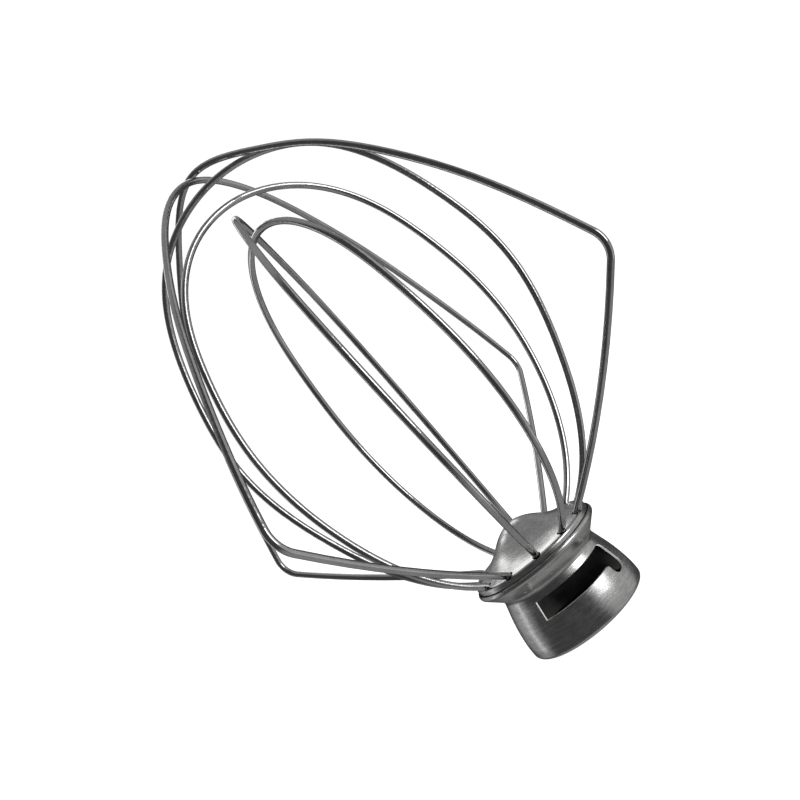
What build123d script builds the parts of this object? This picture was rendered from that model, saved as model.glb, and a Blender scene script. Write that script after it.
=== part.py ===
from build123d import *
import math
import os

# Wire whip for a stand mixer, standing on the open mouth of its hub.
# Millimetres, Z up along the whip's axis, origin at the centre of the mouth.

# wire
WIRE_D = 1.85
HOLE_D = 2.35            # wire holes through the cap
FOOT_R = 16.85           # pitch circle of the wire holes
FOOT_Z = 24.5            # height of a wire's centre where it leaves its hole
END_R, END_Z = 15.2, 19.7   # welded end of a wire, against the inside of the flare
FOOT_BEND = 1.0          # how far the bend in a hole reaches along each side
RING_Z = 24.3            # height about which a loop leans
LOOP_PITCH = 30.0        # angle between neighbouring loops
WELD_MARK_D = 2.2        # round marks outside the flare, behind the wire ends

# hub sheet
SHEET = 0.6
MOUTH_R = 16.1           # clear opening of the mouth, just over the cross pin's reach
LIP_R = 1.12             # bend between the flat lip and the bell
BELL_R = 17.72           # widest part of the bell
NECK_R = 14.85
WAIST_R = 2.0            # bend between the neck and the 45 degree flare
RIM_R = 19.0
NOSE_R = 1.0             # radius of the rolled rim
NOSE_Z = 21.8
CURL_TO = 50.0           # how far round the rim is rolled, in degrees up from outwards
CAP_R = 18.2             # side of the cap, held inside the rolled rim
CAP_Z = 21.75            # lower edge of the cap
CAP_EDGE_R = 0.9         # bend between the cap's top and its side

# window for the shaft's cross pin, 3/16 inch with play
SLOT_Z0, SLOT_Z1 = 9.7, 14.7
SLOT_FROM, SLOT_TO = -91.0, 3.5
LEG_FROM = -14.5         # the part of the window that reaches down
LEG_Z0 = 6.2
SLOT_CORNER = 1.9        # rounding at the leg's end of the window
INNER_CORNER = 0.7       # rounding between the leg and the slot

# inner cup round the half-inch shaft
BORE_R = 6.45
CUP_SHEET = 0.8
CUP_Z0, CUP_Z1 = 15.6, 27.2
CUP_BRIM_R = 14.0

# Loops: half profiles as (radius, height), from the shoulder or the first knot up to the tip.
# lean_in turns a loop in its own plane, lean_out tips the plane over and twist turns the loop
# about the whip's axis between its feet and its tip; leg and over are the slopes of a leg
# at its hole and of the wire just past its shoulder. All angles are in degrees.
LOOPS = {
    "outer_wire_a": dict(step=0, lean_out=4.0, lean_in=-5.2, twist=0, leg=31, shoulder=(67.6, 61.8), over=108.4,
                         knots=[(57.7, 99.9), (46.2, 120.9), (34.7, 136.4), (20.2, 149.3)], tip=159.5),
    "outer_wire_b": dict(step=3, lean_out=-4.0, lean_in=-3.8, twist=0, leg=30, shoulder=(69.3, 61.0), over=108.8,
                         knots=[(57.4, 100.2), (45.6, 121.0), (33.8, 136.4), (19.5, 149.8)], tip=156.8),
    "middle_wire_a": dict(step=5, lean_out=-3.0, lean_in=-0.1, twist=0, leg=35, shoulder=None,
                          knots=[(39.6, 58.3), (45.8, 87.8), (42.4, 110.1), (35.9, 128.2), (26.5, 141.6)],
                          tip=151.9),
    "middle_wire_b": dict(step=4, lean_out=-4.2, lean_in=-3.0, twist=0, leg=35, shoulder=None,
                          knots=[(39.0, 56.9), (43.3, 86.6), (39.5, 108.3), (32.4, 125.9), (20.5, 139.0)],
                          tip=145.5),
    "inner_wire_a": dict(step=1, lean_out=-1.5, lean_in=1.0, twist=0, leg=33, shoulder=None,
                         knots=[(35.4, 50.9), (38.2, 76.9), (35.0, 95.7), (29.2, 111.8), (17.2, 125.6)],
                         tip=131.0),
    "inner_wire_b": dict(step=2, lean_out=-1.2, lean_in=0, twist=-3.0, leg=36, shoulder=None,
                         knots=[(35.8, 50.7), (38.5, 76.4), (35.5, 95.7), (30.0, 112.4), (17.5, 128.0)],
                         tip=138.0),
}
SHOULDER_BEND = 4.6      # how far a shoulder's bend reaches along each side


def loop_angle(step):
    return -LOOP_PITCH * step


def spot(loop, side, r, z, straight=False):
    """Point of a loop, from its radius and height before it leans and twists."""
    lean = 0 if straight else math.tan(math.radians(loop["lean_in"]))
    scale = math.hypot(1, lean)
    h = z - RING_Z
    x = (side * r + lean * h) / scale
    y = (h - lean * side * r) / scale
    base = math.radians(loop_angle(loop["step"]))
    share = 0 if straight else max(h, 0) / (loop["tip"] - RING_Z)
    turned = base + math.radians(loop["twist"]) * share
    out = Vector(math.cos(turned), math.sin(turned), 0)
    across = Vector(-math.sin(base), math.cos(base), 0)
    up = (Vector(0, 0, 1) + across * math.tan(math.radians(loop["lean_out"]))).normalized()
    return Vector(0, 0, RING_Z) + out * x + up * y


def heading(loop, side, r, z, slope):
    """Direction of a wire at a point of its loop, for a slope measured from outwards."""
    a = math.radians(slope)
    return (spot(loop, side, r + math.cos(a), z + math.sin(a)) - spot(loop, side, r, z)).normalized()


def foot(loop, side):
    """Hole point, direction of the leg above it and direction of the end below it."""
    hole = spot(loop, side, FOOT_R, FOOT_Z, straight=True)
    end = spot(loop, side, END_R, END_Z, straight=True)
    return hole, heading(loop, side, FOOT_R, FOOT_Z, loop["leg"]), (end - hole).normalized(), end


def leg_edges(loop, side):
    """Edges of one side from the welded end up, and where and which way the arch starts."""
    hole, out, inward, end = foot(loop, side)
    low, high = hole + inward * FOOT_BEND, hole + out * FOOT_BEND
    edges = [Line(end, low), TangentArc(low, high, tangent=-inward)]
    if not loop["shoulder"]:
        return edges, high, out
    leg = TangentArc(high, spot(loop, side, *loop["shoulder"]), tangent=out)
    rise = heading(loop, side, *loop["shoulder"], loop["over"])
    past = leg @ 1 + (leg % 1) * SHOULDER_BEND + rise * SHOULDER_BEND
    bend = TangentArc(leg @ 1, past, tangent=leg % 1)
    return edges + [leg, bend], past, rise


def make_loop(loop):
    first, start, rise = leg_edges(loop, 1)
    last, finish, fall = leg_edges(loop, -1)
    over = [spot(loop, 1, r, z) for r, z in loop["knots"]] + [spot(loop, 1, 0, loop["tip"])]
    over += [spot(loop, -1, r, z) for r, z in reversed(loop["knots"])]
    arch = Spline(start, *over, finish, tangents=[rise, -fall], tangent_scalars=(1, 1))
    path = Wire(first + [arch] + last)
    end, up = first[0] @ 0, first[0] % 0
    return sweep(Plane(origin=end, z_dir=up) * Circle(WIRE_D / 2), path=path)


def beside(curve, distance, count, first, last):
    """Spline at an even distance to the left of a curve (negative: to its right)."""
    points = [first]
    for i in range(1, count):
        t = curve % (i / count)
        points.append(curve @ (i / count) + Vector(-t.Y, t.X) * distance)
    return Spline(*points, last)


def arc_about(centre, radius, from_deg, to_deg):
    """Arc round a centre between two directions, both in degrees from outwards."""
    def at(a):
        a = math.radians(a)
        return Vector(centre[0] + radius * math.cos(a), centre[1] + radius * math.sin(a))
    return ThreePointArc(at(from_deg), at((from_deg + to_deg) / 2), at(to_deg))


def make_collar():
    nose = (RIM_R - NOSE_R, NOSE_Z)
    lip = (BELL_R - LIP_R, LIP_R)
    # height of the neck for which the flare runs straight into the rim
    neck_z = NECK_R + WAIST_R * (1 - math.sqrt(2)) - (RIM_R - NOSE_Z + NOSE_R * (math.sqrt(2) - 1))
    waist = (NECK_R + WAIST_R, neck_z)
    with BuildPart() as part:
        with BuildSketch(Plane.XZ):
            with BuildLine():
                bell = Spline((BELL_R, LIP_R), (BELL_R - 0.08, 4.2), (BELL_R - 0.5, 7.2), (BELL_R - 1.15, 10.4),
                              (BELL_R - 2.05, 13.6), (NECK_R, neck_z))
                beside(bell, SHEET, 10, (BELL_R - SHEET, LIP_R), (NECK_R - SHEET, neck_z))
                rims = []
                for grow in (0, SHEET):
                    arc_about(lip, LIP_R - grow, -90, 0)
                    Line((MOUTH_R, grow), (lip[0], grow))
                    neck = arc_about(waist, WAIST_R + grow, 180, 135)
                    rims.append(arc_about(nose, NOSE_R - grow, -45, CURL_TO))
                    Line(neck @ 1, rims[-1] @ 0)
                Line(rims[0] @ 1, rims[1] @ 1)
                Line((MOUTH_R, 0), (MOUTH_R, SHEET))
            make_face()
        revolve(axis=Axis.Z)
    body = part.part - window()
    # weld marks behind the wire ends
    slope = Vector(1, 0, -1).normalized()
    for loop in LOOPS.values():
        for turn in (0, 180):
            place = Rot(0, 0, loop_angle(loop["step"]) + turn)
            seat = Vector(END_R, 0, END_Z) + slope * (WIRE_D / 2 + SHEET + WELD_MARK_D * 0.42)
            body -= place * Pos(*seat) * Sphere(WELD_MARK_D / 2)
    return body


def window():
    """Cutter for the J-shaped window: a slot round the bell with a leg at one end."""
    body = sector(SLOT_FROM, SLOT_TO, SLOT_Z0, SLOT_Z1) + sector(LEG_FROM, SLOT_TO, LEG_Z0, SLOT_Z1)
    reach = BELL_R + 6
    turn = math.degrees(SLOT_CORNER / (BELL_R - 1.0))
    # round the leg's end: trade each outer corner for a cylinder pointing at the axis
    for angle, z, way in ((SLOT_TO, SLOT_Z1, -1), (SLOT_TO, LEG_Z0, 1), (LEG_FROM, LEG_Z0, 1)):
        inward = -turn if angle == SLOT_TO else turn
        low, high = sorted((z, z + way * SLOT_CORNER))
        a0, a1 = sorted((angle, angle + inward))
        pad = 0.5
        z0, z1 = (low, high + pad) if way < 0 else (low - pad, high)
        b0, b1 = (a0, a1 + 2) if inward < 0 else (a0 - 2, a1)
        body -= sector(b0, b1, z0, z1)
        pin = Rot(0, 0, angle + inward) * Pos(reach / 2 + 5, 0, z + way * SLOT_CORNER) * Rot(0, 90, 0)
        body += pin * Cylinder(SLOT_CORNER, reach - 10)
    # ease the corner between the leg and the slot
    ease = math.degrees(INNER_CORNER / (BELL_R - 1.0))
    corner = sector(LEG_FROM - ease, LEG_FROM, SLOT_Z0 - INNER_CORNER, SLOT_Z0)
    pin = Rot(0, 0, LEG_FROM - ease) * Pos(reach / 2 + 5, 0, SLOT_Z0 - INNER_CORNER) * Rot(0, 90, 0)
    return body + (corner - pin * Cylinder(INNER_CORNER, reach - 9))


def sector(a0, a1, z0, z1):
    """Wedge of a ring between two angles and two heights, from radius 10 to past the bell."""
    reach = BELL_R + 6
    with BuildPart() as wedge:
        with BuildSketch(Plane.XZ):
            with Locations(((reach + 10) / 2, (z0 + z1) / 2)):
                Rectangle(reach - 10, z1 - z0)
        revolve(axis=Axis.Z, revolution_arc=a1 - a0)
    return Rot(0, 0, a0) * wedge.part


def make_cap():
    edge = (CAP_R - CAP_EDGE_R, 23.48)
    with BuildPart() as part:
        with BuildSketch(Plane.XZ):
            with BuildLine():
                rim = arc_about(edge, CAP_EDGE_R, 0, 76)
                under = arc_about(edge, CAP_EDGE_R - SHEET, 0, 76)
                dome = Spline((0, 32.1), (2.6, 31.6), (5.05, 30.5), (7.3, 29.0), (9.3, 27.55), (11.15, 26.5),
                              (13.5, 25.55), (15.15, 25.0), rim @ 1, tangents=[(1, 0), (0.97, -0.242)])
                inside = beside(dome, -SHEET, 16, (0, 32.1 - SHEET), under @ 1)
                Line(dome @ 0, inside @ 0)
                Line(rim @ 0, (CAP_R, CAP_Z))
                Line(under @ 0, (CAP_R - SHEET, CAP_Z))
                Line((CAP_R, CAP_Z), (CAP_R - SHEET, CAP_Z))
            make_face()
        revolve(axis=Axis.Z)
    body = part.part
    for loop in LOOPS.values():
        for side in (1, -1):
            hole, out, inward, end = foot(loop, side)
            steep = (out - inward).normalized()
            for way, depth in ((out, 1.2), (steep, 4.0), (inward, 3.2)):
                body -= Plane(origin=hole, z_dir=way) * Pos(0, 0, depth / 2) * Cylinder(HOLE_D / 2, depth)
            body -= Pos(*hole) * Sphere(HOLE_D / 2)
    return body


def make_cup():
    """Drawn cup that guides the shaft, its brim seated in the neck."""
    out_r = BORE_R + CUP_SHEET
    with BuildPart() as part:
        with BuildSketch(Plane.XZ):
            with BuildLine():
                top = CUP_Z1 - 1.6
                brim = CUP_Z0 + CUP_SHEET
                Line((0, CUP_Z1), (out_r - 1.6, CUP_Z1))
                RadiusArc((out_r - 1.6, CUP_Z1), (out_r, top), 1.6)
                Line((out_r, top), (out_r, brim + 1.0))
                RadiusArc((out_r, brim + 1.0), (out_r + 1.0, brim), -1.0)
                Line((out_r + 1.0, brim), (CUP_BRIM_R - 1.3, brim))
                RadiusArc((CUP_BRIM_R - 1.3, brim), (CUP_BRIM_R - CUP_SHEET, brim + 0.5), -0.5)
                Line((CUP_BRIM_R - CUP_SHEET, brim + 0.5), (CUP_BRIM_R - CUP_SHEET, CUP_Z0 + 2.6))
                Line((CUP_BRIM_R - CUP_SHEET, CUP_Z0 + 2.6), (CUP_BRIM_R, CUP_Z0 + 2.6))
                Line((CUP_BRIM_R, CUP_Z0 + 2.6), (CUP_BRIM_R, CUP_Z0 + 1.3))
                RadiusArc((CUP_BRIM_R, CUP_Z0 + 1.3), (CUP_BRIM_R - 1.3, CUP_Z0), 1.3)
                Line((CUP_BRIM_R - 1.3, CUP_Z0), (out_r + 1.0, CUP_Z0))
                RadiusArc((out_r + 1.0, CUP_Z0), (BORE_R, CUP_Z0 + 1.8), 1.8)
                Line((BORE_R, CUP_Z0 + 1.8), (BORE_R, top))
                RadiusArc((BORE_R, top), (out_r - 1.6, CUP_Z1 - CUP_SHEET), -0.8)
                Line((out_r - 1.6, CUP_Z1 - CUP_SHEET), (0, CUP_Z1 - CUP_SHEET))
                Line((0, CUP_Z1 - CUP_SHEET), (0, CUP_Z1))
            make_face()
        revolve(axis=Axis.Z)
    return part.part


os.makedirs("parts", exist_ok=True)
nodes = {"collar": make_collar(), "cap": make_cap(), "shaft_cup": make_cup()}
for name, loop in LOOPS.items():
    nodes[name] = make_loop(loop)
for name, body in nodes.items():
    export_step(body, f"parts/{name}.step")
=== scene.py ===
import math
import bpy
from mathutils import Euler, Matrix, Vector

# Studio picture of a wire whip standing on its hub. Metres, Z up along the whip's axis.

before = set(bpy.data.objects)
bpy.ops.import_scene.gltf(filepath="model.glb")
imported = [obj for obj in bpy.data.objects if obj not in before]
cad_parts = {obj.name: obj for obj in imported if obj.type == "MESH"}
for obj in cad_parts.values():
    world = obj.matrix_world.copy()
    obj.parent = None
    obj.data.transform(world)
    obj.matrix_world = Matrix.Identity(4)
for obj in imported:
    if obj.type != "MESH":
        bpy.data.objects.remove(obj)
bpy.context.view_layer.update()
scene = bpy.context.scene

# heights that hold the collar's window, and how far its edge's finish fades past them
WINDOW_LOW, WINDOW_HIGH = 0.0055, 0.0150
FADE_LOW, FADE_HIGH = 0.0005, 0.0003

# turned lines: how many times finer the pattern runs across them than round the axis
FINE_LINES, COARSE_LINES = 1400.0, 900.0
ROUND_AXIS = 2.2

# the room as the metal sees it
ROOM_LIGHT = 0.08
BACKGROUND_LIGHT = 1.05
AIM = Vector((0, 0, 0.05))
LAMP_DISTANCE = 1.0

FLOOR_HALF = 4.0
FLOOR_GLOW = 0.98


class Nodes:
    """A new material's node tree, with short ways to add the nodes used here."""

    def __init__(self, name):
        self.mat = bpy.data.materials.new(name)
        self.mat.use_nodes = True
        self.tree = self.mat.node_tree
        self.shader = self.tree.nodes["Principled BSDF"]

    def add(self, kind, **settings):
        node = self.tree.nodes.new(kind)
        for key, value in settings.items():
            setattr(node, key, value)
        return node

    def link(self, source, target):
        """Link a socket, or set the target when the source is a plain number."""
        if isinstance(source, (int, float)):
            target.default_value = source
        else:
            self.tree.links.new(source, target)

    def math(self, operation, *values):
        node = self.add("ShaderNodeMath", operation=operation)
        for value, socket in zip(values, node.inputs):
            self.link(value, socket)
        return node.outputs[0]

    def blend(self, *parts):
        """Sum of (value, weight) pairs."""
        scaled = [self.math("MULTIPLY", value, weight) for value, weight in parts]
        total = scaled[0]
        for value in scaled[1:]:
            total = self.math("ADD", total, value)
        return total

    def noise(self, vector, scale, detail=3.0, rough=0.55):
        node = self.add("ShaderNodeTexNoise")
        node.inputs["Scale"].default_value = scale
        node.inputs["Detail"].default_value = detail
        node.inputs["Roughness"].default_value = rough
        self.link(vector, node.inputs["Vector"])
        return node.outputs["Fac"]

    def remap(self, value, low, high, to_low, to_high):
        node = self.add("ShaderNodeMapRange")
        node.inputs["From Min"].default_value = low
        node.inputs["From Max"].default_value = high
        node.inputs["To Min"].default_value = to_low
        node.inputs["To Max"].default_value = to_high
        self.link(value, node.inputs["Value"])
        return node.outputs["Result"]

    def ramp(self, value, stops):
        """Colour ramp from (position, colour) stops, the lowest first."""
        node = self.add("ShaderNodeValToRGB")
        elements = node.color_ramp.elements
        for position, colour in stops[1:-1]:
            elements.new(position)
        for element, (position, colour) in zip(elements, stops):
            element.position = position
            element.color = (*colour, 1)
        self.link(value, node.inputs["Fac"])
        return node.outputs["Color"]

    def mix(self, share, first, second):
        """Colour mix; the second colour may be a plain tuple."""
        node = self.add("ShaderNodeMix", data_type="RGBA")
        amount, colour_a, colour_b = node.inputs[0], node.inputs[6], node.inputs[7]
        self.link(share, amount)
        self.link(first, colour_a)
        if isinstance(second, tuple):
            colour_b.default_value = (*second, 1)
        else:
            self.link(second, colour_b)
        return node.outputs[2]

    def combine(self, x, y, z):
        node = self.add("ShaderNodeCombineXYZ")
        for value, socket in zip((x, y, z), node.inputs):
            self.link(value, socket)
        return node.outputs[0]

    def bump(self, height, strength, distance):
        node = self.add("ShaderNodeBump")
        node.inputs["Strength"].default_value = strength
        node.inputs["Distance"].default_value = distance
        self.link(height, node.inputs["Height"])
        self.link(node.outputs["Normal"], self.shader.inputs["Normal"])


def window_edge(n, facing, height):
    """1 on the sheet's sheared edge round the window, 0 on the rest of the collar."""
    sideways = n.remap(n.math("ABSOLUTE", facing), 0.004, 0.007, 1.0, 0.0)
    above = n.remap(height, WINDOW_LOW, WINDOW_LOW + FADE_LOW, 0.0, 1.0)
    below = n.remap(height, WINDOW_HIGH, WINDOW_HIGH + FADE_HIGH, 1.0, 0.0)
    return n.math("MULTIPLY", sideways, n.math("MULTIPLY", above, below))


def turned_steel(name, lines, rough, window=False):
    """Satin steel with turned lines round the hub's axis, smudges, and a near-black painted shade
    inside.
    """
    n = Nodes(name)
    place = n.add("ShaderNodeTexCoord").outputs["Object"]
    split = n.add("ShaderNodeSeparateXYZ")
    n.link(place, split.inputs[0])
    x, y, z = split.outputs
    radius = n.math("SQRT", n.math("ADD", n.math("MULTIPLY", x, x), n.math("MULTIPLY", y, y)))
    angle = n.math("ARCTAN2", y, x)
    # a long smear round the axis, fine across it
    smear = n.combine(n.math("MULTIPLY", radius, lines), n.math("MULTIPLY", z, lines),
                      n.math("MULTIPLY", angle, ROUND_AXIS))
    fine = n.noise(smear, 3.0, 4.0, 0.7)
    wide = n.noise(smear, 0.7, 2.0)
    smudge = n.noise(place, 130.0, 4.0, 0.6)
    spots = n.noise(place, 900.0, 2.0)
    tone = n.blend((fine, 0.45), (wide, 0.2), (smudge, 0.35))
    brushed = n.ramp(tone, [(0.38, (0.40, 0.40, 0.395)), (0.5, (0.58, 0.58, 0.575)),
                            (0.62, (0.76, 0.76, 0.755))])

    # how far the surface faces away from the axis: negative inside the bell and cap, which
    # get a near-black painted shade in place of the shade in their hollow
    facing = n.add("ShaderNodeVectorMath", operation="DOT_PRODUCT")
    n.link(n.add("ShaderNodeNewGeometry").outputs["Normal"], facing.inputs[0])
    n.link(n.combine(x, y, 0.0), facing.inputs[1])
    facing = facing.outputs["Value"]
    inside = n.remap(facing, -0.004, 0.0, 1.0, 0.0)
    # painted shade: the inward faces get a near-black colour for the shade inside the hollow
    painted_inner_shade = n.ramp(smudge, [(0.3, (0.025, 0.025, 0.025)), (0.7, (0.07, 0.07, 0.068))])
    colour = n.mix(inside, brushed, painted_inner_shade)
    gloss = n.math("ADD", n.remap(smudge, 0.3, 0.7, rough - 0.05, rough + 0.07),
                   n.remap(fine, 0.3, 0.7, -0.04, 0.05))
    n.shader.inputs["Metallic"].default_value = 1.0
    if window:
        bare = window_edge(n, facing, z)
        colour = n.mix(bare, colour, (0.97, 0.97, 0.96))
        gloss = n.math("ADD", gloss, n.math("MULTIPLY", bare, 0.3))
        n.link(n.math("SUBTRACT", 1.0, n.math("MULTIPLY", bare, 0.8)), n.shader.inputs["Metallic"])
    n.link(colour, n.shader.inputs["Base Color"])
    n.link(gloss, n.shader.inputs["Roughness"])
    n.shader.inputs["Anisotropic"].default_value = 0.55
    tangent = n.add("ShaderNodeTangent", direction_type="RADIAL", axis="Z")
    n.link(tangent.outputs[0], n.shader.inputs["Tangent"])
    n.bump(n.math("ADD", fine, n.math("MULTIPLY", spots, 0.3)), 0.22, 0.00006)
    return n.mat


def drawn_wire(name):
    """Polished spring wire: near-mirror, with faint drawing marks and dull patches."""
    n = Nodes(name)
    place = n.add("ShaderNodeTexCoord").outputs["Object"]
    stretch = n.add("ShaderNodeMapping")
    stretch.inputs["Scale"].default_value = (1.0, 1.0, 0.12)
    n.link(place, stretch.inputs["Vector"])
    marks = n.noise(stretch.outputs[0], 2600.0, 3.0, 0.65)
    patches = n.noise(place, 60.0, 4.0, 0.6)
    grains = n.noise(place, 700.0, 3.0)
    tone = n.blend((marks, 0.4), (patches, 0.6))
    colour = n.ramp(tone, [(0.35, (0.42, 0.42, 0.42)), (0.5, (0.56, 0.56, 0.56)),
                           (0.65, (0.68, 0.68, 0.675))])
    n.link(colour, n.shader.inputs["Base Color"])
    gloss = n.math("ADD", n.remap(patches, 0.3, 0.7, 0.07, 0.16), n.remap(marks, 0.3, 0.7, -0.02, 0.03))
    n.link(gloss, n.shader.inputs["Roughness"])
    n.shader.inputs["Metallic"].default_value = 1.0
    n.bump(n.math("ADD", marks, n.math("MULTIPLY", grains, 0.5)), 0.1, 0.00003)
    return n.mat


def glowing_paper(name):
    """Pale paper that glows softly, so that the whip stands on plain white."""
    n = Nodes(name)
    place = n.add("ShaderNodeTexCoord").outputs["Object"]
    colour = n.ramp(n.noise(place, 9.0), [(0.3, (0.93, 0.93, 0.93)), (0.7, (0.96, 0.96, 0.96))])
    n.link(colour, n.shader.inputs["Base Color"])
    n.shader.inputs["Roughness"].default_value = 0.9
    n.shader.inputs["Specular IOR Level"].default_value = 0.1
    n.shader.inputs["Emission Color"].default_value = (1, 1, 1, 1)
    n.shader.inputs["Emission Strength"].default_value = FLOOR_GLOW
    return n.mat


def toward(azimuth, elevation):
    """Direction from the whip, for an azimuth from +X and an elevation in degrees."""
    a, e = math.radians(azimuth), math.radians(elevation)
    return Vector((math.cos(a) * math.cos(e), math.sin(a) * math.cos(e), math.sin(e)))


def make_floor():
    h = FLOOR_HALF
    mesh = bpy.data.meshes.new("floor")
    mesh.from_pydata([(-h, -h, 0), (h, -h, 0), (h, h, 0), (-h, h, 0)], [], [(0, 1, 2, 3)])
    mesh.materials.append(glowing_paper("floor_paper"))
    floor = bpy.data.objects.new("floor", mesh)
    scene.collection.objects.link(floor)
    # the metal mirrors the darker room instead of the paper
    floor.visible_glossy = False


def room_panel(tree, coord, total, direction, inner, outer, level):
    """Add a soft round panel to the room's light: full inside one angle, gone past the other."""
    dot = tree.nodes.new("ShaderNodeVectorMath")
    dot.operation = "DOT_PRODUCT"
    dot.inputs[1].default_value = direction
    tree.links.new(coord, dot.inputs[0])
    fade = tree.nodes.new("ShaderNodeMapRange")
    fade.interpolation_type = "SMOOTHSTEP"
    fade.inputs["From Min"].default_value = math.cos(math.radians(outer))
    fade.inputs["From Max"].default_value = math.cos(math.radians(inner))
    fade.inputs["To Min"].default_value = 0.0
    fade.inputs["To Max"].default_value = level
    tree.links.new(dot.outputs["Value"], fade.inputs["Value"])
    add = tree.nodes.new("ShaderNodeMath")
    add.operation = "ADD"
    if isinstance(total, float):
        add.inputs[0].default_value = total
    else:
        tree.links.new(total, add.inputs[0])
    tree.links.new(fade.outputs["Result"], add.inputs[1])
    return add.outputs[0]


def make_room():
    """World that is white behind the whip, and a grey room with lit panels in its reflections."""
    world = bpy.data.worlds.new("studio")
    scene.world = world
    world.use_nodes = True
    tree = world.node_tree
    tree.nodes.clear()
    coord = tree.nodes.new("ShaderNodeTexCoord").outputs["Generated"]
    light = ROOM_LIGHT
    for azimuth, elevation, inner, outer, level in (
            (121, 62, 38, 60, 0.31),      # ceiling
            (14, 2, 42, 50, 0.48),        # right wall
            (-176, 2, 26, 30, 0.33),      # left wall
            (0, -90, 40, 68, 0.30)):      # floor
        light = room_panel(tree, coord, light, toward(azimuth, elevation), inner, outer, level)
    mirrored = tree.nodes.new("ShaderNodeBackground")
    tree.links.new(light, mirrored.inputs["Strength"])
    seen = tree.nodes.new("ShaderNodeBackground")
    seen.inputs["Color"].default_value = (1, 1, 1, 1)
    seen.inputs["Strength"].default_value = BACKGROUND_LIGHT
    path = tree.nodes.new("ShaderNodeLightPath")
    either = tree.nodes.new("ShaderNodeMixShader")
    tree.links.new(path.outputs["Is Camera Ray"], either.inputs["Fac"])
    tree.links.new(mirrored.outputs[0], either.inputs[1])
    tree.links.new(seen.outputs[0], either.inputs[2])
    output = tree.nodes.new("ShaderNodeOutputWorld")
    tree.links.new(either.outputs[0], output.inputs["Surface"])


def softbox(name, azimuth, elevation, width, height, radiance):
    """Area light aimed at the whip from a direction given in degrees."""
    back = toward(azimuth, elevation)
    data = bpy.data.lights.new(name, "AREA")
    data.shape = "RECTANGLE"
    data.size, data.size_y = width, height
    data.energy = radiance * width * height * math.pi
    lamp = bpy.data.objects.new(name, data)
    lamp.location = AIM + back * LAMP_DISTANCE
    lamp.rotation_euler = (-back).to_track_quat("-Z", "Y").to_euler()
    scene.collection.objects.link(lamp)


def make_camera():
    data = bpy.data.cameras.new("camera")
    data.lens = 40.76
    data.sensor_width = 36
    data.shift_x, data.shift_y = -0.0177, 0.0341
    data.clip_start, data.clip_end = 0.005, 50
    camera = bpy.data.objects.new("camera", data)
    camera.location = (0.12232, -0.20296, 0.07405)
    camera.rotation_euler = Euler([math.radians(a) for a in (87.83, 40.712, 30.309)])
    scene.collection.objects.link(camera)
    scene.camera = camera


# ---- materials ----
wire_steel = drawn_wire("wire_polished_steel")
finishes = {
    "collar": turned_steel("collar_turned_steel", FINE_LINES, 0.22, window=True),
    "cap": turned_steel("cap_turned_steel", FINE_LINES, 0.22),
    "shaft_cup": turned_steel("cup_drawn_steel", COARSE_LINES, 0.42),
}
for name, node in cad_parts.items():
    for slot in node.material_slots:
        slot.material = finishes.get(name, wire_steel)

# ---- studio ----
make_floor()
make_room()
softbox("key", -6, 12, 0.42, 0.5, 3.4)
softbox("back", 132, 40, 0.7, 0.24, 1.6)
softbox("side", -168, 6, 0.12, 0.9, 1.1)
make_camera()
scene.view_settings.view_transform = "Standard"

bpy.context.view_layer.update()
